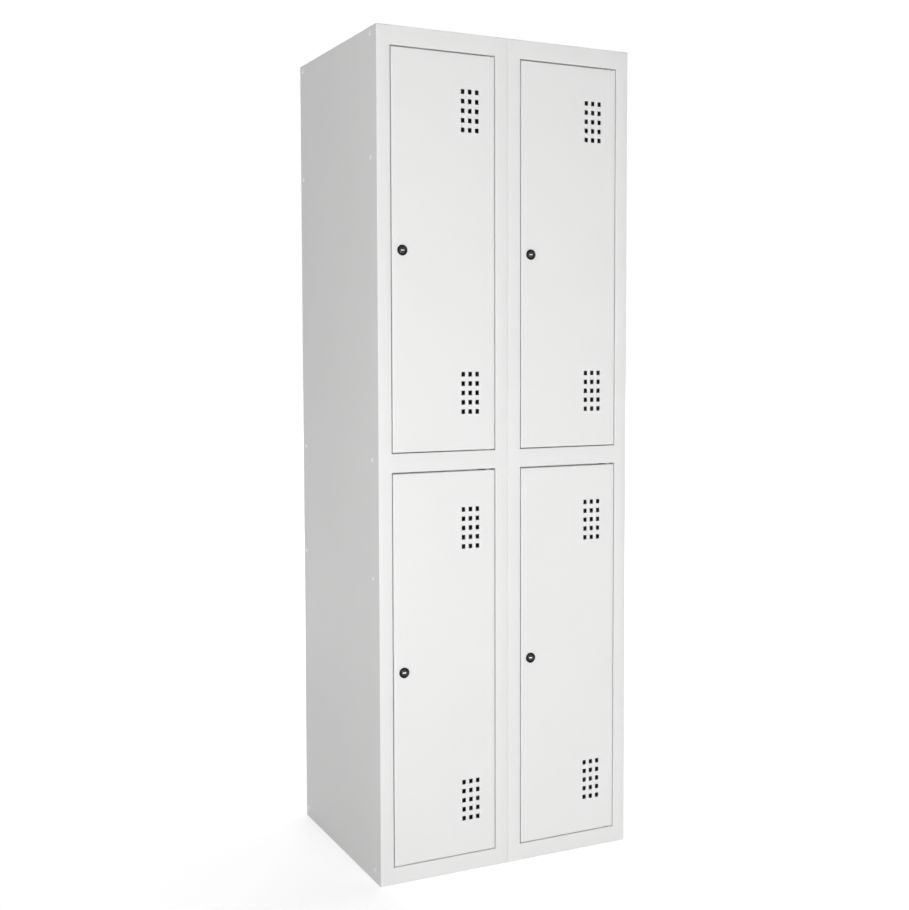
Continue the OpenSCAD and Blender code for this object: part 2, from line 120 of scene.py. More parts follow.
@dataclass(frozen=True)
class MeshData:
    """Corners and faces of one closed shell, or of several shells in one mesh."""

    vertices: Array
    quads: Array
    caps: tuple[Array, ...] = ()

    @staticmethod
    def join(parts: Sequence["MeshData"]) -> "MeshData":
        """Put several shells into one mesh.

        Args:
            parts: The shells, each with its own numbering.

        Returns:
            One set of vertices, with every face's numbers moved on past the shells before it.
        """
        starts = np.concatenate([[0], np.cumsum([len(p.vertices) for p in parts])])
        vertices = np.concatenate([p.vertices for p in parts])
        quads = np.concatenate([p.quads + s for p, s in zip(parts, starts)])
        caps = tuple(c + s for p, s in zip(parts, starts) for c in p.caps)
        return MeshData(vertices, quads, caps)

    def moved(self, offset: Sequence[float]) -> "MeshData":
        """The same shell moved by offset."""
        return MeshData(self.vertices + np.asarray(offset), self.quads, self.caps)

    def to_mesh(self, name: str, smooth_angle: float) -> bpy.types.Mesh:
        """Write the arrays into a Blender mesh.

        Args:
            name: The mesh's name.
            smooth_angle: Edges that turn by more than this, in degrees, stay sharp.

        Returns:
            The mesh, with its faces smooth between sharp edges.
        """
        loops = np.concatenate([self.quads.ravel(), *self.caps]).astype(np.int32)
        totals = np.concatenate([np.full(len(self.quads), 4), [len(c) for c in self.caps]]).astype(np.int32)
        starts = np.concatenate([[0], np.cumsum(totals)[:-1]]).astype(np.int32)
        mesh = bpy.data.meshes.new(name)
        mesh.vertices.add(len(self.vertices))
        mesh.vertices.foreach_set("co", self.vertices.astype(np.float32).ravel())
        mesh.loops.add(len(loops))
        mesh.loops.foreach_set("vertex_index", loops)
        mesh.polygons.add(len(totals))
        mesh.polygons.foreach_set("loop_start", starts)
        mesh.polygons.foreach_set("use_smooth", np.ones(len(totals), bool))
        mesh.update(calc_edges=True)
        mesh.validate()
        mesh.set_sharp_from_angle(angle=math.radians(smooth_angle))
        return mesh


def sheet_solid(mid: Array, normal: Array, keep: Array, thickness: float) -> MeshData:
    """A sheet of even thickness about a gridded middle surface.

    Formula: the outer skin is the middle plus half the thickness along the normal, and the inner
    skin is the middle minus it. Each kept cell of the grid gives one face on each skin. Each grid
    edge with a kept cell on one side only gets a rim face that joins the two skins.

    Args:
        mid: Middle surface, (rows, columns, 3).
        normal: Unit outward normals on the same grid.
        keep: Which cells are metal, (rows - 1, columns - 1).
        thickness: Sheet thickness in metres.

    Returns:
        The closed shell, without the corners that no face uses.
    """
    rows, columns = mid.shape[:2]
    count = rows * columns
    index = np.arange(count).reshape(rows, columns)
    outer = (mid + normal * (thickness / 2)).reshape(-1, 3)
    inner = (mid - normal * (thickness / 2)).reshape(-1, 3)
    cell = np.stack([index[:-1, :-1], index[1:, :-1], index[1:, 1:], index[:-1, 1:]], axis=-1)[keep]
    padded = np.pad(keep, 1)
    after, before = padded[1:-1, 1:], padded[1:-1, :-1]
    right, left = padded[1:, 1:-1], padded[:-1, 1:-1]

    def rim(start: Array, end: Array, chosen: Array) -> Array:
        """Rim faces from each chosen start to its end, on both skins."""
        return np.stack([start, end, end + count, start + count], axis=-1)[chosen]

    faces = np.concatenate(
        [
            cell,
            cell[:, ::-1] + count,
            rim(index[1:, :], index[:-1, :], after & ~before),
            rim(index[:-1, :], index[1:, :], before & ~after),
            rim(index[:, :-1], index[:, 1:], right & ~left),
            rim(index[:, 1:], index[:, :-1], left & ~right),
        ]
    )
    across = np.cross(mid[1:, :-1] - mid[:-1, :-1], mid[:-1, 1:] - mid[:-1, :-1])
    if np.sum(across[keep] * normal[:-1, :-1][keep]) < 0:
        faces = faces[:, ::-1]
    used, renumbered = np.unique(faces, return_inverse=True)
    return MeshData(np.concatenate([outer, inner])[used], renumbered.reshape(faces.shape))


def loft(rings: Array, capped: bool = True) -> MeshData:
    """Faces between successive closed rings.

    Formula: ring i, corner j joins ring i + 1, corner j, and the corners run round cyclically.

    Args:
        rings: Corners of the rings, (rings, corners, 3).
        capped: Whether the first and last rings are closed by a flat face; if not, they are joined.

    Returns:
        The closed shell, its faces outward where the rings run clockwise seen from the end of the loft.
    """
    number, corners = rings.shape[:2]
    index = np.arange(number * corners).reshape(number, corners)
    here = index[:-1] if capped else index
    there = index[1:] if capped else np.roll(index, -1, axis=0)
    quads = np.stack([here, there, np.roll(there, -1, axis=1), np.roll(here, -1, axis=1)], axis=-1)
    caps = (index[0], index[-1][::-1]) if capped else ()
    return MeshData(rings.reshape(-1, 3), quads.reshape(-1, 4), caps)


def about_axis(radius: Array, depth: Array, angle: Array, centre: Sequence[float]) -> Array:
    """Rings of corners about an axis that runs from the front to the back.

    Formula: a corner at angle a lies at (radius cos a, depth, radius sin a) from the centre.

    Args:
        radius: Radius of every corner, or one for each ring, as (rings, 1).
        depth: One for each ring, as (rings, 1).
        angle: Angles round the axis, (corners,).
        centre: The axis's point at depth 0.

    Returns:
        Corners of the rings, (rings, corners, 3).
    """
    across, up = radius * np.cos(angle), radius * np.sin(angle)
    return np.stack(np.broadcast_arrays(across, depth, up), axis=-1) + np.asarray(centre)


def turned(profile: Array, centre: Sequence[float], segments: int, capped: bool = True) -> MeshData:
    """A shape turned about an axis that runs from the front to the back.

    Formula: every profile point is the radius and the depth of one ring about the axis.

    Args:
        profile: Points (radius, depth), running from the front to the back.
        centre: The axis's point at depth 0.
        segments: Steps round the axis.
        capped: False for a profile that is a closed loop, as of a ring with a bore.

    Returns:
        The closed shell.
    """
    angle = np.linspace(0, 2 * math.pi, segments, endpoint=False)
    return loft(about_axis(profile[:, :1], profile[:, 1:], angle, centre), capped)


@dataclass(frozen=True)
class FoldedLine:
    """The middle line of a folded sheet, seen along its folds.

    Corners are the points where the straight runs would meet, and radii are the bend radii there.
    """

    corners: Sequence[tuple[float, float]]
    radii: Sequence[float]

    def trace(self) -> tuple[Array, Array]:
        """Points along the line with their normals.

        Formula: at a corner that turns by phi, the line leaves its run radius tan(|phi| / 2) before
        the corner and follows an arc about the point at one radius to the inside. The normal is the
        direction of travel turned a quarter clockwise, and it turns evenly through the arc.

        Returns:
            Points (n, 2) and unit normals (n, 2).
        """
        corner = np.asarray(self.corners, float)
        run = np.diff(corner, axis=0)
        run /= np.linalg.norm(run, axis=1, keepdims=True)
        heading = np.arctan2(run[:, 1], run[:, 0])
        turn = (np.diff(heading) + math.pi) % (2 * math.pi) - math.pi
        radius = np.asarray(self.radii, float)
        start = corner[1:-1] - run[:-1] * (radius * np.tan(np.abs(turn) / 2))[:, None]
        side = np.sign(turn)
        centre = start + (side * radius)[:, None] * np.stack([-run[:-1, 1], run[:-1, 0]], axis=1)
        part = np.linspace(0, 1, ARC_STEPS + 1)
        angle = heading[:-1, None] + turn[:, None] * part
        normal = np.stack([np.sin(angle), -np.cos(angle)], axis=-1)
        arc = centre[:, None, :] + (side * radius)[:, None, None] * normal
        ends = np.stack([run[:, 1], -run[:, 0]], axis=1)
        points = np.concatenate([corner[:1], arc.reshape(-1, 2), corner[-1:]])
        normals = np.concatenate([ends[:1], normal.reshape(-1, 2), ends[-1:]])
        return points, normals


class Along(Enum):
    """Axis that a folded section is carried along, with the axes of its two coordinates."""

    X = (0, 1, 2)
    Y = (1, 0, 2)
    Z = (2, 0, 1)

    def place(self, section: Array, stations: Array) -> Array:
        """Repeat a section at every station.

        Args:
            section: Its points or normals, (n, 2).
            stations: Places along the axis, (m,).

        Returns:
            Points in space, (n, m, 3).
        """
        along, first, second = self.value
        placed = np.zeros((len(section), len(stations), 3))
        placed[:, :, along] = stations
        placed[:, :, first] = section[:, :1]
        placed[:, :, second] = section[:, 1:]
        return placed


def folded_strip(
    line: FoldedLine, along: Along, stations: Sequence[float], keep: Array | None = None
) -> MeshData:
    """A folded sheet: its section carried straight along one axis.

    Formula: the section's points and normals are repeated at each station.

    Args:
        line: The section's middle line.
        along: The axis it is carried along.
        stations: Places along that axis.
        keep: Which cells are metal; all of them if left out.

    Returns:
        The closed shell, one carcass sheet thick.
    """
    points, normals = line.trace()
    place = np.asarray(stations, float)
    if keep is None:
        keep = np.ones((len(points) - 1, len(place) - 1), bool)
    return sheet_solid(along.place(points, place), along.place(normals, place * 0), keep, SHEET)


def between(places: Array, spans: Array) -> Array:
    """Whether each place lies between the low and high edge of one of the spans (n, 2)."""
    return ((places[..., None] > spans[:, 0]) & (places[..., None] < spans[:, 1])).any(-1)


# ---------------------------------------------------------------- finishes

WHITE = (1.0, 1.0, 1.0, 1.0)
NONE_TO_ALL = Span(0.0, 1.0)
NOISE_SPREAD = Span(0.3, 0.7)

# Sockets of a Mix node that mixes colours
MIX_FACTOR, MIX_FIRST, MIX_SECOND, MIX_RESULT = 0, 6, 7, 2


@dataclass(frozen=True)
class NodeSheet:
    """A node tree, with short calls to add nodes and links."""

    tree: bpy.types.NodeTree
    material: bpy.types.Material | None = None

    @classmethod
    def of_material(cls, name: str) -> "NodeSheet":
        """Start a material that holds its shader and output only.

        Args:
            name: The material's name.

        Returns:
            The node sheet of the new material.
        """
        material = bpy.data.materials.new(name)
        material.use_nodes = True
        return cls(material.node_tree, material)

    def given(self, name: str) -> Node:
        """A node that the tree starts with."""
        return self.tree.nodes[name]

    @property
    def shader(self) -> Node:
        """The material's surface shader."""
        return self.given("Principled BSDF")

    def add(self, kind: str, sockets: dict[str, object] | None = None, **settings: object) -> Node:
        """Add a node.

        Args:
            kind: Blender's name of the node type.
            sockets: Values or output sockets for its inputs.
            settings: Values for its own properties.

        Returns:
            The new node.
        """
        node = self.tree.nodes.new(kind)
        for key, value in settings.items():
            setattr(node, key, value)
        for key, value in (sockets or {}).items():
            self.put(node.inputs[key], value)
        return node

    def put(self, socket: Socket, value: object) -> None:
        """Link an output to the socket, or set the socket's own value.

        Args:
            socket: The input to fill.
            value: An output socket, a number or a colour.
        """
        if isinstance(value, Socket):
            self.tree.links.new(value, socket)
        else:
            socket.default_value = value

    def reckon(self, operation: str, *values: object) -> Socket:
        """Work out a sum.

        Args:
            operation: Blender's name of the sum.
            values: The numbers or output sockets that it takes, in order.

        Returns:
            The result.
        """
        node = self.add("ShaderNodeMath", operation=operation)
        for socket, value in zip(node.inputs, values):
            self.put(socket, value)
        return node.outputs[0]

    def seen(self) -> Socket:
        """1 for rays from the camera, from gloss or through glass, and 0 for the rest.

        Returns:
            The greatest of the three kinds' outputs.
        """
        rays = self.add("ShaderNodeLightPath").outputs
        either = self.reckon("MAXIMUM", rays["Is Camera Ray"], rays["Is Glossy Ray"])
        return self.reckon("MAXIMUM", either, rays["Is Transmission Ray"])

    def place(self) -> Socket:
        """The position on the object, in metres."""
        return self.add("ShaderNodeTexCoord").outputs["Object"]

    def noise(self, scale: float, detail: float) -> Socket:
        """Even noise with scale cells to the metre."""
        sockets = {"Vector": self.place(), "Scale": scale, "Detail": detail}
        return self.add("ShaderNodeTexNoise", sockets).outputs["Fac"]

    def ramp(self, value: Socket, source: Span, result: Span, **settings: object) -> Socket:
        """Map one stretch of numbers to another.

        Args:
            value: The number to map.
            source: The stretch that it is read on; past its ends the result stays.
            result: What the two ends of that stretch become.
            settings: Values for the node's own properties.

        Returns:
            The mapped number.
        """
        sockets = {"Value": value, "From Min": source.low, "From Max": source.high}
        sockets |= {"To Min": result.low, "To Max": result.high}
        return self.add("ShaderNodeMapRange", sockets, **settings).outputs["Result"]

    def spread(self, noise: Socket, result: Span) -> Socket:
        """Map the stretch where noise mostly lies to another."""
        return self.ramp(noise, NOISE_SPREAD, result)

    def blend(self, factor: Socket, first: Colour, second: Colour) -> Socket:
        """Mix two colours.

        Args:
            factor: 0 for the first colour to 1 for the second.
            first: The first colour.
            second: The second colour.

        Returns:
            The mixed colour.
        """
        mix = self.add("ShaderNodeMix", data_type="RGBA")
        self.put(mix.inputs[MIX_FACTOR], factor)
        self.put(mix.inputs[MIX_FIRST], (*first, 1.0))
        self.put(mix.inputs[MIX_SECOND], (*second, 1.0))
        return mix.outputs[MIX_RESULT]

    def bump(self, height: Socket, strength: float, distance: float) -> None:
        """Raise the surface by a height pattern."""
        sockets = {"Height": height, "Strength": strength, "Distance": distance}
        self.set(Normal=self.add("ShaderNodeBump", sockets).outputs["Normal"])

    def set(self, **values: object) -> None:
        """Set shader sockets, named with underscores for spaces."""
        for key, value in values.items():
            self.put(self.shader.inputs[key.replace("_", " ")], value)


@dataclass(frozen=True)
class Finish:
    """Base of every finish: its colour, and how far its tone, roughness and skin vary.

    Tints multiply the colour, wear is added to the roughness, and the grain has its cells to the
    metre, its strength and its height in metres.
    """

    name: str
    colour: Colour
    roughness: float
    wear: Span
    tints: Span
    grain_cells: float
    grain_strength: float
    grain_height: float

    def dress(self, sheet: NodeSheet) -> None:
        """Fill the node sheet; each finish does this in its own way."""
        raise NotImplementedError

    def vary(self, sheet: NodeSheet, tone: Socket, marks: Socket, grain: Socket) -> None:
        """Vary the tone, the roughness and the surface.

        Formula: the colour runs between its two tints with the tone, the roughness runs over its
        wear with the marks, and the grain raises the skin.

        Args:
            sheet: The material's nodes.
            tone: Where the colour lies between its tints, 0 to 1.
            marks: Noise for the roughness.
            grain: Noise for the skin.
        """
        roughness = Span(self.roughness + self.wear.low, self.roughness + self.wear.high)
        colour = sheet.blend(tone, self.tint(self.tints.low), self.tint(self.tints.high))
        sheet.set(Base_Color=colour, Roughness=sheet.spread(marks, roughness))
        sheet.bump(grain, self.grain_strength, self.grain_height)

    def material(self) -> bpy.types.Material:
        """The material, made on first use.

        Returns:
            The one material of this finish's name.
        """
        found = bpy.data.materials.get(self.name)
        if found is None:
            sheet = NodeSheet.of_material(self.name)
            self.dress(sheet)
            found = sheet.material
        return found

    def tint(self, factor: float) -> Colour:
        """The colour times a factor, held at 1."""
        return tuple(min(1.0, c * factor) for c in self.colour)


@dataclass(frozen=True)
class PowderCoat(Finish):
    """Baked powder on sheet steel: fine orange peel, faint clouds of tone, low sheen."""

    roughness: float = 0.46
    wear: Span = Span(-0.04, 0.05)
    tints: Span = Span(0.985, 1.012)
    grain_cells: float = 620.0
    grain_strength: float = 0.16
    grain_height: float = 0.00012
    gloss: float = 0.42
    cloud_cells: float = 3.5
    speck_cells: float = 1488.0
    speck_share: float = 0.35
    tone: Span = Span(-0.2, 0.9)

    def dress(self, sheet: NodeSheet) -> None:
        """Clouds and specks in the tone, and orange peel in the roughness and the skin.

        Formula: the mottle is the clouds plus a share of the specks.

        Args:
            sheet: The material's nodes.
        """
        specks = sheet.noise(self.speck_cells, 1.0)
        clouds = sheet.noise(self.cloud_cells, 3.0)
        peel = sheet.noise(self.grain_cells, 2.0)
        mottle = sheet.reckon("MULTIPLY_ADD", specks, self.speck_share, clouds)
        self.vary(sheet, sheet.spread(mottle, self.tone), peel, peel)
        sheet.set(Specular_IOR_Level=self.gloss)


@dataclass(frozen=True)
class Plating(Finish):
    """Bright metal plate over steel, with fine crystal spangle and handling marks."""

    roughness: float = 0.32
    wear: Span = Span(-0.08, 0.1)
    tints: Span = Span(0.88, 1.08)
    grain_cells: float = 900.0
    grain_strength: float = 0.1
    grain_height: float = 0.00005
    grains_per_mark: float = 7.0

    def dress(self, sheet: NodeSheet) -> None:
        """Spangle in the tone and the skin, and marks in the roughness.

        Args:
            sheet: The material's nodes.
        """
        grain = sheet.noise(self.grain_cells, 3.0)
        marks = sheet.noise(self.grain_cells / self.grains_per_mark, 4.0)
        self.vary(sheet, sheet.spread(grain, NONE_TO_ALL), marks, grain)
        sheet.set(Metallic=1.0)


@dataclass(frozen=True)
class Moulded(Finish):
    """Moulded nylon or rubber with a fine matt skin."""

    roughness: float = 0.55
    wear: Span = Span(-0.05, 0.08)
    tints: Span = Span(0.93, 1.05)
    grain_cells: float = 1500.0
    grain_strength: float = 0.15
    grain_height: float = 0.00006

    def dress(self, sheet: NodeSheet) -> None:
        """One fine grain in the tone, the roughness and the skin."""
        grain = sheet.noise(self.grain_cells, 2.0)
        self.vary(sheet, sheet.spread(grain, NONE_TO_ALL), grain, grain)


SLOT_FINISH: dict[str, Finish] = {
    "carcass_coat": PowderCoat("carcass_powder_coat", (0.80, 0.80, 0.795)),
    "door_coat": PowderCoat("door_powder_coat", (0.81, 0.81, 0.805)),
    "zinc_plate": Plating("zinc_plate", (0.64, 0.645, 0.65)),
    "bright_steel": Plating("turned_steel", (0.52, 0.53, 0.55), roughness=0.24),
    "black_lock": Plating("black_nickel", (0.018, 0.018, 0.020), roughness=0.16),
    "lock_plug": Plating("dark_nickel", (0.05, 0.05, 0.053), roughness=0.2),
    "nylon": Moulded("grey_nylon", (0.34, 0.34, 0.33)),
    "rubber": Moulded("black_rubber", (0.03, 0.03, 0.031), roughness=0.7),
}
# The key slot's shutter: bright metal, made bright enough to paint the glint of light in the slot (painted
# highlight)
SHUTTER_GLINT_FINISH = Plating("shutter_painted_glint", (0.82, 0.82, 0.82), roughness=0.22)
SLOT_OF_NODE: dict[str, str] = {s["node"]: s["material_slot"] for s in frame["record"]["subparts"]}


def dress_node(node: str) -> None:
    """Give a CAD node the finish of its slot.

    Args:
        node: The node's name.
    """
    materials = frame["nodes"][node].data.materials
    materials.clear()
    materials.append(SLOT_FINISH[SLOT_OF_NODE[node]].material())


def add_piece(
    name: str,
    data: MeshData,
    node: str,
    body: str,
    smooth_angle: float = 35.0,
    finish: Finish | None = None,
) -> None:
    """Make a finished piece that stands for a CAD node.

    Args:
        name: The piece's name.
        data: Its mesh.
        node: The CAD node that it stands for.
        body: The CAD body that it moves with.
        smooth_angle: Edges that turn by more than this, in degrees, stay sharp.
        finish: Its finish, where that isn't the one of the node's slot.
    """
    piece = bpy.data.objects.new(name, data.to_mesh(name, smooth_angle))
    bpy.context.scene.collection.objects.link(piece)
    piece.data.materials.append((finish or SLOT_FINISH[SLOT_OF_NODE[node]]).material())
    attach(piece, body)
    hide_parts(node)
    log.info("%s: %d vertices, rides on %s", name, len(data.vertices), body)


# ---------------------------------------------------------------- the carcass


def node_span(node: str, axis: int) -> Span:
    """Where a CAD node lies on one axis."""
    low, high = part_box(node)
    return Span(low[axis], high[axis])


@dataclass(frozen=True)
class ColumnGauge:
    """Places that the pieces of one column share, read from the CAD nodes."""

    side: Side
    outer_bend: float = 0.0015
    inner_bend: float = 0.0012
    frame_depth: float = 0.0218
    stop_lip: float = 0.010
    hinge_relief: float = 0.033
    tray_setback: float = 0.0042
    flange: float = 0.025

    def node(self, part: str) -> str:
        """The CAD node of one of the column's fixed parts."""
        return f"{self.side.value}_{part}"

    def tier_node(self, tier: Tier, part: str) -> str:
        """The CAD node of a part in one of the column's compartments."""
        return f"{tier.value}_{self.side.value}_{part}"

    @property
    def x(self) -> Span:
        """The column's width, up to the joint between the columns."""
        own = node_span(self.node("roof"), 0)
        return Span(own.low, 0.0) if self.side is Side.LEFT else Span(0.0, own.high)

    @property
    def y(self) -> Span:
        """Front face to back face."""
        return node_span(self.node("roof"), 1)

    @property
    def z(self) -> Span:
        """Floor to top."""
        return Span(0.0, node_span(self.node("roof"), 2).high)

    def door(self, tier: Tier, axis: int) -> Span:
        """Where a door lies on one axis."""
        return node_span(self.tier_node(tier, "door"), axis)

    def opening(self, tier: Tier, axis: int) -> Span:
        """Where the frame's opening round a door lies on one axis."""
        door = self.door(tier, axis)
        return door.inset(-SIDE_GAP) if axis == 0 else Span(door.low - FOOT_GAP, door.high + HEAD_GAP)

    def shelf_top(self, tier: Tier) -> float:
        """The height of a compartment's hat shelf."""
        return node_span(self.tier_node(tier, "shelf"), 2).high

    @property
    def tray_front(self) -> float:
        """Where the full-width part of the floors begins."""
        return self.y.low + self.frame_depth + self.tray_setback

    @property
    def tray_back(self) -> float:
        """Where the floors end, at the back panel."""
        return self.y.high - 2 * SHEET


@dataclass(frozen=True)
class SidePanel:
    """A side panel in one sheet: rear flange, web, front upright, its return and the stop lip."""

    gauge: ColumnGauge
    left_hand: bool
    rear_flange: float = 0.015
    corner_step: float = 0.0005
    roof_edge: float = 0.0016

    @property
    def node(self) -> str:
        """The CAD node's name."""
        return self.gauge.node(f"column_{'left' if self.left_hand else 'right'}_side")

    @property
    def sense(self) -> int:
        """1 where the inside of the column lies to the right of the panel, and -1 to the left."""
        return 1 if self.left_hand else -1

    @property
    def edge(self) -> float:
        """Where the panel's outer face lies across the cabinet."""
        return self.gauge.x.low if self.left_hand else self.gauge.x.high

    @property
    def stile(self) -> float:
        """The width of the front upright."""
        opening = self.gauge.opening(Tier.LOWER, 0)
        return abs((opening.low if self.left_hand else opening.high) - self.edge)

    def is_outside(self) -> bool:
        """Whether it faces out and not the other column."""
        return self.left_hand == (self.gauge.side is Side.LEFT)

    def plan(self) -> FoldedLine:
        """The panel's section in plan, from its rear flange to the end of the upright.

        Formula: a distance u in from the outer face lies at the face's place plus sense times u.
        The upright's return is the last run, or the stop lip behind it on the lock side.

        Returns:
            The folded middle line.
        """
        gauge = self.gauge
        half = SHEET / 2
        front, back = gauge.y.low + half, gauge.y.high - half
        depth = gauge.y.low + gauge.frame_depth - half
        corners = [(self.rear_flange, back), (half, back), (half, front)]
        corners += [(self.stile - half, front), (self.stile - half, depth)]
        corner_bend = gauge.outer_bend if self.is_outside() else gauge.inner_bend
        radii = [gauge.outer_bend, corner_bend, gauge.outer_bend]
        if self.left_hand:
            corners.append((self.stile + gauge.stop_lip, depth))
            radii.append(gauge.outer_bend / 2)
        return FoldedLine([(self.edge + self.sense * u, v) for u, v in corners], radii)

    def rows(self) -> tuple[Array, Array]:
        """Heights of the grid rows, and whether each row lies beside an opening.

        Formula: every opening gives its two ends and its middle, and the rail rows next to it lie
        one corner step away.

        Returns:
            Heights in metres, and True for the rows beside an opening.
        """
        step = self.corner_step
        heights, beside = [0.0], [False]
        for tier in Tier:
            hole = self.gauge.opening(tier, 2)
            heights += [hole.low - step, hole.low, hole.middle, hole.high, hole.high + step]
            beside += [False, True, True, True, False]
        heights.append(self.gauge.z.high - self.roof_edge)
        beside.append(False)
        return np.array(heights), np.array(beside)

    def mesh(self) -> MeshData:
        """The panel.

        Formula: the section in plan is carried up the height. Beside an opening it turns back at
        the upright's inner edge; beside a rail it stops flat at that edge, and the cells past it
        are left out. That edge is the first point of the section's third bend.

        Returns:
            The closed shell.
        """
        points, normals = self.plan().trace()
        heights, beside = self.rows()
        mid = Along.Z.place(points, heights)
        normal = Along.Z.place(normals, heights * 0)
        face_end = 1 + 2 * (ARC_STEPS + 1)
        rail = np.flatnonzero(~beside)
        mid[face_end, rail, 0] = self.edge + self.sense * self.stile
        normal[face_end, rail] = (0, -self.sense, 0)
        normal *= self.sense
        keep = np.ones((len(points) - 1, len(heights) - 1), bool)
        keep[face_end:] = (beside[:-1] & beside[1:])[None, :]
        return sheet_solid(mid, normal, keep, SHEET)

    def build(self) -> None:
        """Add the panel in place of its CAD node."""
        add_piece(f"{self.node}_sheet", self.mesh(), self.node, FIXED_BODY)


@dataclass(frozen=True)
class Tray:
    """The full-width floor behind the uprights, with down-turned flanges at the sides and the back."""

    gauge: ColumnGauge
    top: float
    front: float
    bend: float = 0.001

    def mesh(self) -> MeshData:
        """The floor with its flanges.

        Formula: a channel section across the column, its outer faces against the side panels, is
        carried from the front to the back, and a flat strip closes the back below it.

        Returns:
            The two closed shells in one mesh.
        """
        gauge = self.gauge
        x = gauge.x.inset(1.5 * SHEET)
        top, foot = self.top - SHEET / 2, self.top - gauge.flange
        channel = FoldedLine([(x.low, foot), (x.low, top), (x.high, top), (x.high, foot)], [self.bend] * 2)
        floor = folded_strip(channel, Along.Y, (self.front, gauge.tray_back))
        back = gauge.tray_back - SHEET / 2
        wall = FoldedLine([(back, foot), (back, self.top - SHEET - self.bend / 4)], [])
        ends = x.inset(SHEET)
        return MeshData.join([floor, folded_strip(wall, Along.X, (ends.low, ends.high))])


@dataclass(frozen=True)
class FrontRail:
    """A rail between the uprights: optional stop lip, return, face, and the sheet behind its top."""

    gauge: ColumnGauge
    foot: float
    top: float
    has_lip: bool
    has_floor: bool

    def section(self) -> FoldedLine:
        """The rail's section, from its lip or return up to its top or the floor behind it.

        Returns:
            The folded middle line, as places front to back and up.
        """
        gauge = self.gauge
        half = SHEET / 2
        face, depth = gauge.y.low + half, gauge.y.low + gauge.frame_depth - half
        corners = [(depth, self.foot + half), (face, self.foot + half)]
        radii = [gauge.outer_bend]
        if self.has_lip:
            corners.insert(0, (depth, self.foot - gauge.stop_lip))
            radii.insert(0, gauge.outer_bend / 2)
        if self.has_floor:
            corners += [(face, self.top - half), (gauge.tray_front, self.top - half)]
            radii.append(gauge.outer_bend)
        else:
            corners.append((face, self.top))
        return FoldedLine(corners, radii)

    def mesh(self) -> MeshData:
        """The rail.

        Formula: the section is carried across the opening; the lip's cells are kept only between
        the upright's own lip and the hinge relief.

        Returns:
            The closed shell.
        """
        line = self.section()
        x = self.gauge.opening(Tier.LOWER, 0)
        stations = (x.low, x.low + self.gauge.stop_lip, x.high - self.gauge.hinge_relief, x.high)
        keep = np.ones((len(line.trace()[0]) - 1, len(stations) - 1), bool)
        if self.has_lip:
            keep[0, [0, -1]] = False
        return folded_strip(line, Along.X, stations, keep)


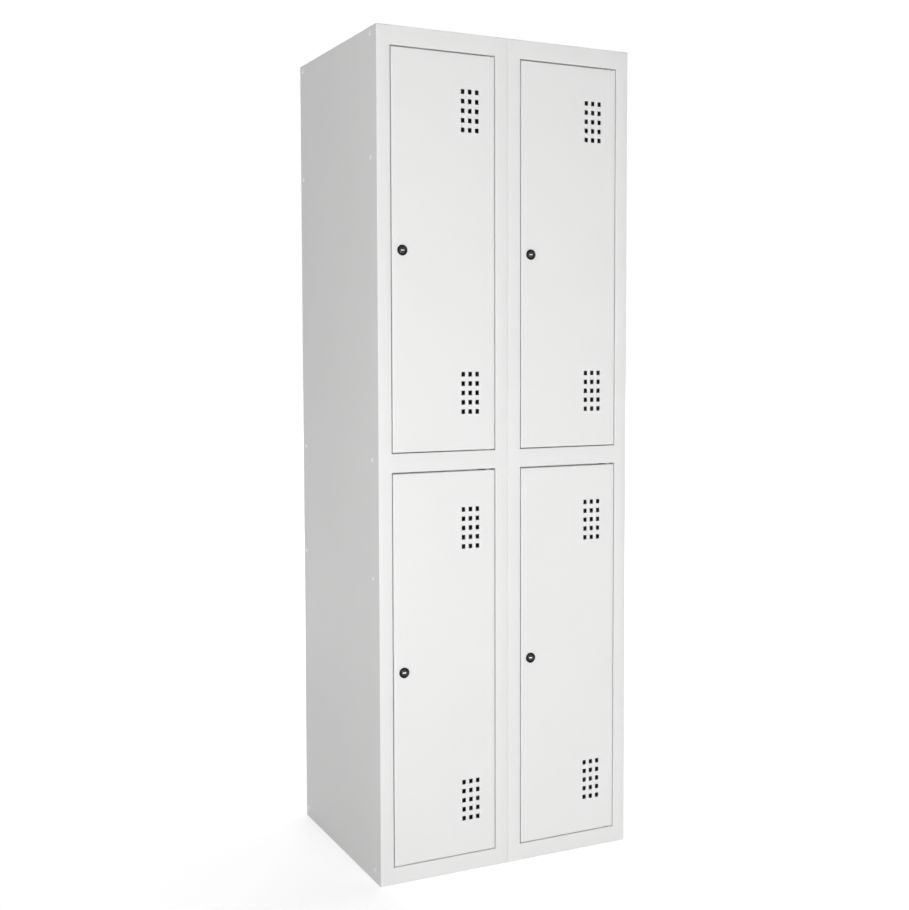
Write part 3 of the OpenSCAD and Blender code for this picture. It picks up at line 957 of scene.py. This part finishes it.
@dataclass(frozen=True)
class FoldedPan:
    """A sheet with bends round all four edges: doors and the roof's lid are both this.

    The pan lies in two axes, first and second, and its depth runs along the third.
    """

    first: Span
    second: Span
    sheet: float
    bend: float
    depth: float
    lip: float = 0.0
    margin_gap: float = 0.0005
    decimals: int = 7

    def profile(self) -> tuple[Array, Array, Array]:
        """Section of one folded edge, from the free edge to the flat.

        Formula: lip, return and flat are straight runs with bends between; the margin is the piece
        of the flat that reaches past both the bend and the lip behind it.

        Returns:
            Points (inset, depth), outward normals, and the Zone of each cell.
        """
        half, deep = self.sheet / 2, self.depth - self.sheet / 2
        margin = max(self.lip, self.bend + self.sheet) + self.margin_gap
        if self.lip:
            line = FoldedLine(
                [(self.lip, deep), (half, deep), (half, half), (margin, half)], [self.bend / 2, self.bend]
            )
            zones = [Zone.LIP] * (ARC_STEPS + 1)
        else:
            line = FoldedLine([(half, self.depth), (half, half), (margin, half)], [self.bend])
            zones = []
        zones += [Zone.RETURN] + [Zone.BEND] * ARC_STEPS + [Zone.MARGIN]
        points, normals = line.trace()
        return points, normals, np.array(zones)

    def axis_lines(self, span: Span, cuts: Array) -> tuple[Array, Array, Array, Array]:
        """Grid lines across the pan on one axis.

        Formula: the edge's section stands at both ends, mirrored at the far one, and the cuts lie
        on the flat between them.

        Args:
            span: The pan's width on that axis.
            cuts: Extra lines on the flat, where holes have their edges.

        Returns:
            Places, depths, normals (along the axis, depth) and the Zone of each cell.
        """
        points, normals, zones = self.profile()
        flat = np.unique(np.round(cuts, self.decimals))
        depth = np.full(len(flat), self.sheet / 2)
        places = np.concatenate([span.low + points[:, 0], flat, (span.high - points[:, 0])[::-1]])
        depths = np.concatenate([points[:, 1], depth, points[::-1, 1]])
        flat_normal = np.tile([0.0, -1.0], (len(flat), 1))
        mirrored = normals[::-1] * np.array([-1, 1])
        cell_zones = np.concatenate([zones, np.full(len(flat) + 1, Zone.FLAT), zones[::-1]])
        return places, depths, np.concatenate([normals, flat_normal, mirrored]), cell_zones

    def grid(self, first_cuts: Array, second_cuts: Array) -> tuple[Array, Array, Array]:
        """The pan's middle surface.

        Formula: the place on each axis comes from that axis's folded section, and the depth is the
        sum of the two sections' depths less the flat's, so that the corners close in a round. The
        normal is the two sections' normals, with their depth parts multiplied, made unit length.
        Cells folded both ways past the bend are left out, and side lips stop short of end lips.

        Args:
            first_cuts: Extra grid lines on the first axis.
            second_cuts: Extra grid lines on the second axis.

        Returns:
            Surface (first, depth, second), its normals and the cells that are metal.
        """
        a, a_depth, a_normal, a_zone = self.axis_lines(self.first, first_cuts)
        b, b_depth, b_normal, b_zone = self.axis_lines(self.second, second_cuts)
        depth = a_depth[:, None] + b_depth[None, :] - self.sheet / 2
        surface = np.stack(np.broadcast_arrays(a[:, None], depth, b[None, :]), axis=-1)
        facing = -a_normal[:, None, 1] * b_normal[None, :, 1]
        normal = np.stack(np.broadcast_arrays(a_normal[:, None, 0], facing, b_normal[None, :, 0]), axis=-1)
        normal = normal / np.maximum(np.linalg.norm(normal, axis=-1, keepdims=True), TINY)
        across, along = a_zone[:, None], b_zone[None, :]
        keep = (across <= Zone.BEND) & (along <= Zone.BEND)
        keep |= (across == Zone.RETURN) & (along <= Zone.BEND)
        keep |= (along == Zone.RETURN) & (across <= Zone.BEND)
        keep |= (across == Zone.LIP) & (along == Zone.FLAT)
        keep |= (along == Zone.LIP) & (across <= Zone.MARGIN)
        return surface, normal, keep


@dataclass(frozen=True)
class Carcass:
    """One column's fixed sheet metal."""

    gauge: ColumnGauge
    lid_depth: float = 0.0019
    shelf_fold: float = 0.020
    shelf_bend: float = 0.0012

    def lid(self) -> MeshData:
        """The roof's flat, bent down a little all round.

        Formula: a folded pan with its depth measured down from the top.

        Returns:
            The closed shell.
        """
        gauge = self.gauge
        pan = FoldedPan(gauge.x, gauge.y, SHEET, gauge.inner_bend, self.lid_depth)
        surface, normal, keep = pan.grid(np.array([gauge.x.middle]), np.array([gauge.y.middle]))
        down = np.array([1, 1, -1])
        mid = surface[..., [0, 2, 1]] * down + np.array([0, 0, gauge.z.high])
        return sheet_solid(mid, normal[..., [0, 2, 1]] * down, keep, SHEET)

    def floored(self, rail: FrontRail) -> MeshData:
        """A rail joined with the full-width floor that lies level with its top."""
        return MeshData.join([Tray(self.gauge, rail.top, self.gauge.tray_front).mesh(), rail.mesh()])

    def roof(self) -> MeshData:
        """Lid, inner flanges and the top rail.

        Returns:
            Their closed shells in one mesh.
        """
        gauge = self.gauge
        top = gauge.z.high
        rail = FrontRail(gauge, gauge.opening(Tier.UPPER, 2).high, top - self.lid_depth, True, False)
        tray = Tray(gauge, top - SHEET, gauge.tray_front)
        return MeshData.join([self.lid(), tray.mesh(), rail.mesh()])

    def tier_divider(self) -> MeshData:
        """Floor of the upper tier with the middle rail."""
        foot, top = self.gauge.opening(Tier.LOWER, 2).high, self.gauge.opening(Tier.UPPER, 2).low
        return self.floored(FrontRail(self.gauge, foot, top, has_lip=True, has_floor=True))

    def base_pan(self) -> MeshData:
        """Floor of the lower tier with the bottom rail."""
        top = self.gauge.opening(Tier.LOWER, 2).low
        return self.floored(FrontRail(self.gauge, self.gauge.z.low, top, has_lip=False, has_floor=True))

    def shelf(self, tier: Tier) -> MeshData:
        """A hat shelf: a tray with a fold down its front edge.

        Formula: an angle section, from the fold's foot back to the tray, is carried across between
        the tray's flanges.

        Args:
            tier: The compartment that it is in.

        Returns:
            The closed shells in one mesh.
        """
        gauge = self.gauge
        top, front = gauge.shelf_top(tier), gauge.tray_front
        back = front + 2 * self.shelf_fold
        half = SHEET / 2
        corners = [(front + half, top - self.shelf_fold), (front + half, top - half), (back, top - half)]
        ends = gauge.x.inset(2.5 * SHEET)
        lip = folded_strip(FoldedLine(corners, [self.shelf_bend]), Along.X, (ends.low, ends.high))
        return MeshData.join([Tray(gauge, top, back).mesh(), lip])

    def build(self) -> None:
        """Add the column's sheet pieces in place of their CAD nodes."""
        gauge = self.gauge
        for left_hand in (True, False):
            SidePanel(gauge, left_hand).build()
        parts = {"roof": self.roof(), "tier_divider": self.tier_divider(), "base_pan": self.base_pan()}
        sheets = {gauge.node(part): data for part, data in parts.items()}
        sheets |= {gauge.tier_node(tier, "shelf"): self.shelf(tier) for tier in Tier}
        for node, data in sheets.items():
            add_piece(f"{node}_sheet", data, node, FIXED_BODY)


@dataclass(frozen=True)
class SideRivets:
    """The blind rivets down the outer side panel of a column."""

    gauge: ColumnGauge
    head_radius: float = 0.006
    head_height: float = 0.0016
    crown_flat: float = 0.0004
    crown_steps: int = 8
    sink: float = 0.00005
    shank_radius: float = 0.0024
    collar_radius: float = 0.0036
    collar_height: float = 0.0014
    collar_wall: float = 0.8
    segments: int = 32

    @property
    def node(self) -> str:
        """The CAD node's name."""
        return self.gauge.node("side_rivets")

    def centres(self) -> Array:
        """Front and back rivet at each fixing height, as points on the panel's outer face.

        Formula: every floor, shelf and the top has a pair of rivets at one drop below it, and the
        drop is the highest pair's, read from the CAD node.

        Returns:
            Points (n, 3).
        """
        gauge = self.gauge
        x = gauge.x.low if gauge.side is Side.LEFT else gauge.x.high
        y = node_span(self.node, 1).inset(self.head_radius)
        tops = [gauge.opening(Tier.LOWER, 2).low, gauge.opening(Tier.UPPER, 2).low, gauge.z.high]
        tops += [gauge.shelf_top(tier) for tier in Tier]
        drop = gauge.z.high - node_span(self.node, 2).high + self.head_radius
        return np.array([(x, place, top - drop) for top in tops for place in (y.low, y.high)])

    def profile(self) -> Array:
        """Radius and depth from the crown of the head to the end of the collar.

        Formula: the crown's height falls with the square of the radius; then the rim goes in to
        the panel, and the shank through two sheets ends in a round collar.

        Returns:
            Points (radius, depth), with depth 0 at the panel's face.
        """
        radius = np.linspace(self.crown_flat, self.head_radius, self.crown_steps)
        crown = np.stack([radius, -self.head_height * (1 - (radius / self.head_radius) ** 2)], axis=1)
        grip = 2 * SHEET
        tail = [
            (self.head_radius, self.sink),
            (self.shank_radius, 2 * self.sink),
            (self.shank_radius, grip),
            (self.collar_radius, grip + 2 * self.sink),
            (self.collar_radius, grip + self.collar_wall * self.collar_height),
            (self.shank_radius, grip + self.collar_height),
        ]
        return np.concatenate([crown, tail])

    def build(self) -> None:
        """Add all the column's rivets as one piece.

        Formula: one turned rivet is laid on its side and copied to every centre.
        """
        one = turned(self.profile(), (0, 0, 0), self.segments)
        sense = 1 if self.gauge.side is Side.LEFT else -1
        laid = one.vertices[:, [1, 0, 2]] * np.array([sense, -sense, 1])
        rivet = MeshData(laid, one.quads, one.caps)
        data = MeshData.join([rivet.moved(centre) for centre in self.centres()])
        add_piece(f"{self.node}_heads", data, self.node, FIXED_BODY)


# ---------------------------------------------------------------- doors and locks


@dataclass(frozen=True)
class Vents:
    """Two groups of square vent holes near a door's hinge edge."""

    columns: int = 3
    rows: int = 5
    width: float = 0.0085
    height: float = 0.010
    pitch: tuple[float, float] = (0.0164, 0.020)
    side_inset: float = 0.058
    end_inset: float = 0.0805
    upper_rise: float = 0.002
    lower_rise: float = -0.002

    def across(self, door: Span) -> Array:
        """Edges of the columns of holes.

        Formula: the columns lie evenly about a line at the inset from the hinge edge.

        Args:
            door: The door's width.

        Returns:
            Low and high edge of each column, (columns, 2).
        """
        centre = door.high - self.side_inset
        middles = centre + (np.arange(self.columns) - (self.columns - 1) / 2) * self.pitch[0]
        return middles[:, None] + np.array([-0.5, 0.5]) * self.width

    def up(self, door: Span, tier: Tier) -> Array:
        """Edges of the rows of holes in both groups.

        Formula: each group counts inward from one end of the door, and both move by the tier's rise.

        Args:
            door: The door's height.
            tier: The row that the door is in.

        Returns:
            Low and high edge of each row, (2 rows, 2).
        """
        steps = np.arange(self.rows) * self.pitch[1]
        middles = np.concatenate([door.low + self.end_inset + steps, door.high - self.end_inset - steps])
        middles += self.upper_rise if tier is Tier.UPPER else self.lower_rise
        return middles[:, None] + np.array([-0.5, 0.5]) * self.height


@dataclass(frozen=True)
class Door:
    """One door: folded pan with vents and a lock hole, and its stiffener."""

    gauge: ColumnGauge
    tier: Tier
    vents: Vents = Vents()
    bend: float = 0.0011
    depth: float = 0.018
    lip: float = 0.010
    hole_radius: float = 0.0096
    hole_reach: float = 0.0118
    hole_steps: int = 8
    stiffener_depth: float = 0.016
    stiffener_foot: float = 0.010
    stiffener_bend: float = 0.001

    def node(self, part: str) -> str:
        """A name for one of the door's parts, with the door's place before it, as the CAD has it."""
        return self.gauge.tier_node(self.tier, part)

    @property
    def body(self) -> str:
        """The CAD body that swings."""
        return self.node("door")

    @property
    def face(self) -> float:
        """Where the door's outer face lies, level with the frame's."""
        return self.gauge.y.low

    def lock_centre(self) -> Array:
        """The lock's axis, across and up."""
        return np.array([node_span(self.node("lock_housing"), axis).middle for axis in (0, 2)])

    def round_hole(self, surface: Array) -> Array:
        """Draw the square grid round the lock in to a circle.

        Formula: with q the larger of the two distances from the lock's axis and r the true
        distance, a point on the hole's square moves to r = q, and the move fades to nothing at the
        reach.

        Args:
            surface: The pan's middle surface, (n, m, 3).

        Returns:
            The same surface with the points near the lock moved.
        """
        centre = self.lock_centre()
        apart = surface[..., [0, 2]] - centre
        square = np.abs(apart).max(axis=-1)
        true = np.maximum(np.linalg.norm(apart, axis=-1), TINY)
        fade = np.clip((square - self.hole_radius) / (self.hole_reach - self.hole_radius), 0, 1)
        scale = (1 - fade) * square / true + fade
        moved = surface.copy()
        moved[..., [0, 2]] = centre + apart * scale[..., None]
        return moved

    def skin(self) -> MeshData:
        """The pan with its holes.

        Formula: a folded pan's grid, with grid lines on every hole's edges; the cells inside a
        hole are left out, and the lock's square of cells is drawn round first.

        Returns:
            The closed shell.
        """
        x, z = (self.gauge.door(self.tier, axis) for axis in (0, 2))
        pan = FoldedPan(x, z, DOOR_SHEET, self.bend, self.depth, self.lip)
        columns, rows = self.vents.across(x), self.vents.up(z, self.tier)
        centre = self.lock_centre()
        square = np.linspace(-self.hole_radius, self.hole_radius, self.hole_steps + 1)
        lines = np.array([-self.hole_reach, *square, self.hole_reach])
        first = np.concatenate([columns.ravel(), centre[0] + lines])
        second = np.concatenate([rows.ravel(), centre[1] + lines])
        surface, normal, keep = pan.grid(first, second)
        middle = (surface[1:, 1:] + surface[:-1, :-1]) / 2
        front = middle[..., 1] < DOOR_SHEET
        vent = between(middle[..., 0], columns) & between(middle[..., 2], rows)
        lock = np.abs(middle[..., [0, 2]] - centre).max(axis=-1) < self.hole_radius
        keep &= ~(front & (vent | lock))
        surface = self.round_hole(surface)
        surface[..., 1] += self.face
        return sheet_solid(surface, normal, keep, DOOR_SHEET)

    def stiffener(self) -> MeshData:
        """The top-hat channel behind the skin.

        Formula: foot, web, crown, web and foot in plan, carried up the door.

        Returns:
            The closed shell.
        """
        x, z = (node_span(self.node("stiffener"), axis) for axis in (0, 2))
        half = SHEET / 2
        foot = self.face + DOOR_SHEET + half
        crown = foot + self.stiffener_depth - SHEET
        wall = self.stiffener_foot + half
        plan = [(x.low, foot), (x.low + wall, foot), (x.low + wall, crown)]
        plan += [(x.high - wall, crown), (x.high - wall, foot), (x.high, foot)]
        return folded_strip(FoldedLine(plan, [self.stiffener_bend] * 4), Along.Z, (z.low, z.high))

    def build(self) -> None:
        """Add the pan and the stiffener in place of their CAD nodes."""
        add_piece(self.node("door_skin"), self.skin(), self.node("door"), self.body)
        add_piece(self.node("stiffener_channel"), self.stiffener(), self.node("stiffener"), self.body)


@dataclass(frozen=True)
class CamLock:
    """A cam lock: face ring with a threaded body, and the plug with its key slot and a shutter whose bright
    colour is a painted glint.

    The plug's section gives the share of the way from the slot's edge to the rim, and the depth
    below the plug's face.
    """

    door: Door
    face_radius: float = 0.01125
    face_edge: float = 0.0011
    edge_points: int = 7
    proud: float = 0.0024
    skirt_gap: float = 0.0001
    dish_depth: float = 0.00055
    bore_radius: float = 0.0071
    bore_bevel: float = 0.0004
    bore_bevel_depth: float = 0.0012
    body_radius: float = 0.0095
    thread_depth: float = 0.00035
    thread_pitch: float = 0.001
    thread_points: int = 4
    thread_margin: float = 0.0002
    plug_radius: float = 0.0069
    plug_recess: float = 0.0005
    plug_section: tuple[tuple[float, float], ...] = (
        (0.0, 0.0003),
        (0.06, 0.0),
        (0.55, 0.0),
        (0.93, 0.0),
        (0.985, 0.0002),
        (1.0, 0.0006),
    )
    rim_gap: float = 0.0002
    shank_radius: float = 0.006
    shank_setback: float = 0.003
    slot_length: float = 0.0076
    slot_height: float = 0.0022
    slot_depth: float = 0.006
    shutter_drop: float = 0.0003
    shutter_fit: float = 0.0001
    segments: int = 64

    @property
    def plug_face(self) -> float:
        """Depth of the plug's face behind the door's, less than 0 because it stands before it."""
        return -self.proud + self.plug_recess

    def centre(self) -> Array:
        """The lock's axis at the door's face."""
        x, z = self.door.lock_centre()
        return np.array([x, self.door.face, z])

    def back(self, part: str) -> float:
        """How far the back end of a lock part's CAD node lies behind the door's face."""
        return node_span(self.door.node(part), 1).high - self.door.face

    def housing_profile(self) -> Array:
        """Closed section of the housing, from inside the bore round the face to the thread's end.

        Formula: the face's edge is a quarter round, the face dips in a shallow cone to the bore's
        bevel, and the thread's radius follows a sine along the body.

        Returns:
            Points (radius, depth).
        """
        turn = np.linspace(0, math.pi / 2, self.edge_points)
        edge_radius = self.face_radius - self.face_edge + self.face_edge * np.sin(turn)
        edge_depth = -self.proud + self.face_edge - self.face_edge * np.cos(turn)
        end = self.back("lock_housing")
        points = int(self.thread_points * end / self.thread_pitch)
        depth = np.linspace(self.thread_margin, end - self.thread_margin, points)
        wave = 0.5 - 0.5 * np.cos(2 * math.pi * depth / self.thread_pitch)
        dish = (self.bore_radius + self.bore_bevel, -self.proud + self.dish_depth)
        return np.concatenate(
            [
                [(self.bore_radius, -self.proud + self.bore_bevel_depth), dish],
                np.stack([edge_radius, edge_depth], axis=1),
                [(self.face_radius, -self.skirt_gap), (self.body_radius, -self.skirt_gap)],
                np.stack([self.body_radius - self.thread_depth * wave, depth], axis=1),
                [(self.body_radius - self.thread_depth, end), (self.bore_radius, end)],
            ]
        )

    def plug_mesh(self) -> MeshData:
        """The plug with its slot.

        Formula: rings of corners lie on the rays from the axis. On the slot's walls a ray ends on
        the slot's rectangle, at the smaller of half length / |cos| and half height / |sin|; across
        the face it runs from there to the rim, then down the plug's side and along its shank.

        Returns:
            The closed shell.
        """
        angle = np.linspace(0, 2 * math.pi, self.segments, endpoint=False) + math.pi / self.segments
        slot = np.minimum(
            self.slot_length / 2 / np.abs(np.cos(angle)), self.slot_height / 2 / np.abs(np.sin(angle))
        )
        section = [(0.0, self.slot_depth), *self.plug_section]
        stations = [(share, self.plug_face + depth) for share, depth in section] + [(1.0, -self.rim_gap)]
        share, depth = np.array(stations).T[:, :, None]
        shank = np.full((2, self.segments), self.shank_radius)
        radius = np.concatenate([slot * (1 - share) + self.plug_radius * share, shank])
        depth = np.concatenate([depth, [[0.0], [self.back("lock_plug") - self.shank_setback]]])
        return loft(about_axis(radius, depth, angle, self.centre()))

    def shutter_mesh(self) -> MeshData:
        """The shutter that fills the key slot just under the plug's face. Its bright colour is a painted
        highlight standing in for the glint of light in the slot.

        Formula: a block a little smaller than the slot, from under the face to the slot's floor.

        Returns:
            The closed shell.
        """
        half_x, half_z = self.slot_length / 2 - self.shutter_fit, self.slot_height / 2 - self.shutter_fit
        corners = [(half_x, -half_z), (half_x, half_z), (-half_x, half_z), (-half_x, -half_z)]
        depths = (self.plug_face + self.shutter_drop, self.plug_face + self.slot_depth)
        rings = np.array([[(x, depth, z) for x, z in corners] for depth in depths])
        return loft(rings + self.centre())

    def build(self) -> None:
        """Add the housing, the plug and its shutter in place of their CAD nodes."""
        door = self.door
        plug, turning = door.node("lock_plug"), door.node("lock")
        ring = turned(self.housing_profile(), self.centre(), self.segments, capped=False)
        add_piece(door.node("lock_face"), ring, door.node("lock_housing"), door.body, smooth_angle=50.0)
        add_piece(door.node("lock_core"), self.plug_mesh(), plug, turning, smooth_angle=40.0)
        shutter = self.shutter_mesh()
        # The shutter's bright finish is a painted highlight, the glint in the key slot
        add_piece(door.node("lock_shutter"), shutter, plug, turning, finish=SHUTTER_GLINT_FINISH)


# ---------------------------------------------------------------- stage


@dataclass(frozen=True)
class Lamp:
    """A square soft lamp: where it stands, the point it faces, its side in metres and its power."""

    name: str
    place: tuple[float, float, float]
    target: tuple[float, float, float]
    size: float
    watts: float

    def build(self) -> None:
        """Add the lamp, turned to its target."""
        data = bpy.data.lights.new(self.name, "AREA")
        data.size = self.size
        data.energy = self.watts
        lamp = bpy.data.objects.new(self.name, data)
        bpy.context.scene.collection.objects.link(lamp)
        place = Vector(self.place)
        lamp.location = place
        lamp.rotation_euler = (Vector(self.target) - place).to_track_quat("-Z", "Y").to_euler()


@dataclass(frozen=True)
class Studio:
    """Pale floor, white surroundings, soft lamps and the camera.

    The glow zone's two distances from the middle are where the floor's glow has its low and its
    high strength, and light is the world's strength on the cabinet and as it is seen.
    """

    floor_reach: float = 30.0
    floor_colour: tuple[float, float, float, float] = (0.9, 0.9, 0.9, 1.0)
    floor_roughness: float = 0.9
    floor_gloss: float = 0.1
    glow: Span = Span(0.46, 1.0)
    glow_zone: Span = Span(0.9, 3.0)
    light: Span = Span(0.25, 1.0)
    lens_mm: float = 53.02
    sensor_mm: float = 36.0
    sight: float = 200.0
    shift: tuple[float, float] = (-0.087, -0.035)
    eye_from_corner: tuple[float, float, float] = (-0.9985, -2.6037, 1.1479)
    heading: float = 0.4818
    pitch: float = -0.0591
    roll: float = 0.001
    lamps: tuple[Lamp, ...] = (
        Lamp("front", (-0.6, -4.2, 1.2), (0.0, 0.0, 0.95), 1.8, 38.0),
        Lamp("front_low", (-0.2, -3.6, 0.35), (0.0, 0.0, 0.3), 1.0, 35.0),
        Lamp("left_front", (-3.8, -2.0, 1.9), (0.0, 0.0, 0.95), 2.0, 41.0),
        Lamp("overhead", (0.9, 0.9, 6.5), (0.3, 0.2, 0.0), 2.0, 60.0),
        Lamp("right", (4.2, 0.6, 1.6), (0.0, 0.0, 0.95), 2.4, 40.0),
        Lamp("rear", (1.2, 4.5, 1.8), (0.0, 0.0, 0.95), 2.4, 45.0),
    )

    def world(self) -> None:
        """White to the camera, to gloss and through glass; a plain soft level on everything else."""
        world = bpy.data.worlds.new("studio_world")
        bpy.context.scene.world = world
        world.use_nodes = True
        sheet = NodeSheet(world.node_tree)
        background = sheet.given("Background")
        sheet.put(background.inputs["Color"], WHITE)
        sheet.put(background.inputs["Strength"], sheet.ramp(sheet.seen(), NONE_TO_ALL, self.light))

    def floor_material(self) -> bpy.types.Material:
        """Pale matt floor that keeps the cabinet's shadow and grows plain white further out.

        Formula: the shader's own light is added to a glow that only the camera, gloss and glass
        see, and the glow's strength grows smoothly with the distance from the middle.

        Returns:
            The material.
        """
        sheet = NodeSheet.of_material("pale_floor")
        sheet.set(Base_Color=self.floor_colour, Roughness=self.floor_roughness)
        sheet.set(Specular_IOR_Level=self.floor_gloss)
        away = sheet.add("ShaderNodeVectorMath", {"Vector": sheet.place()}, operation="LENGTH")
        level = sheet.ramp(
            away.outputs["Value"], self.glow_zone, self.glow, interpolation_type="SMOOTHSTEP"
        )
        shown = sheet.reckon("MULTIPLY", sheet.seen(), level)
        glow = sheet.add("ShaderNodeEmission", {"Color": WHITE, "Strength": shown})
        both = sheet.add("ShaderNodeAddShader")
        sheet.put(both.inputs[0], sheet.shader.outputs[0])
        sheet.put(both.inputs[1], glow.outputs[0])
        sheet.put(sheet.given("Material Output").inputs["Surface"], both.outputs[0])
        return sheet.material

    def floor(self) -> None:
        """Lay a wide square floor under the cabinet."""
        reach = self.floor_reach
        mesh = bpy.data.meshes.new("floor")
        corners = [(-reach, -reach, 0), (reach, -reach, 0), (reach, reach, 0), (-reach, reach, 0)]
        mesh.from_pydata(corners, [], [(0, 1, 2, 3)])
        mesh.materials.append(self.floor_material())
        floor = bpy.data.objects.new("floor", mesh)
        bpy.context.scene.collection.objects.link(floor)

    def camera(self) -> None:
        """Set the camera from its place before the cabinet's front left foot.

        Formula: the view direction is (sin h cos p, cos h cos p, sin p) for heading h and pitch p.
        """
        corner = Vector((node_span("left_roof", 0).low, node_span("left_roof", 1).low, 0.0))
        data = bpy.data.cameras.new("camera")
        data.lens = self.lens_mm
        data.sensor_width = self.sensor_mm
        data.shift_x, data.shift_y = self.shift
        data.clip_end = self.sight
        camera = bpy.data.objects.new("camera", data)
        bpy.context.scene.collection.objects.link(camera)
        h, p = self.heading, self.pitch
        ahead = Vector((math.sin(h) * math.cos(p), math.cos(h) * math.cos(p), math.sin(p)))
        turn = ahead.to_track_quat("-Z", "Y").to_matrix() @ Matrix.Rotation(self.roll, 3, "Z")
        camera.matrix_world = Matrix.Translation(corner + Vector(self.eye_from_corner)) @ turn.to_4x4()
        bpy.context.scene.camera = camera

    def build(self) -> None:
        """Set up everything that isn't part of the cabinet."""
        bpy.context.scene.view_settings.view_transform = "Standard"
        self.world()
        self.floor()
        for lamp in self.lamps:
            lamp.build()
        self.camera()


def main() -> None:
    """Build the stage, dress every CAD node, and add the detailed pieces in order."""
    logging.basicConfig(level=logging.INFO, format="%(message)s")
    Studio().build()
    for node in frame["nodes"]:
        dress_node(node)
    for side in Side:
        gauge = ColumnGauge(side)
        Carcass(gauge).build()
        SideRivets(gauge).build()
        for tier in Tier:
            door = Door(gauge, tier)
            door.build()
            CamLock(door).build()


if __name__ == "__main__":
    main()
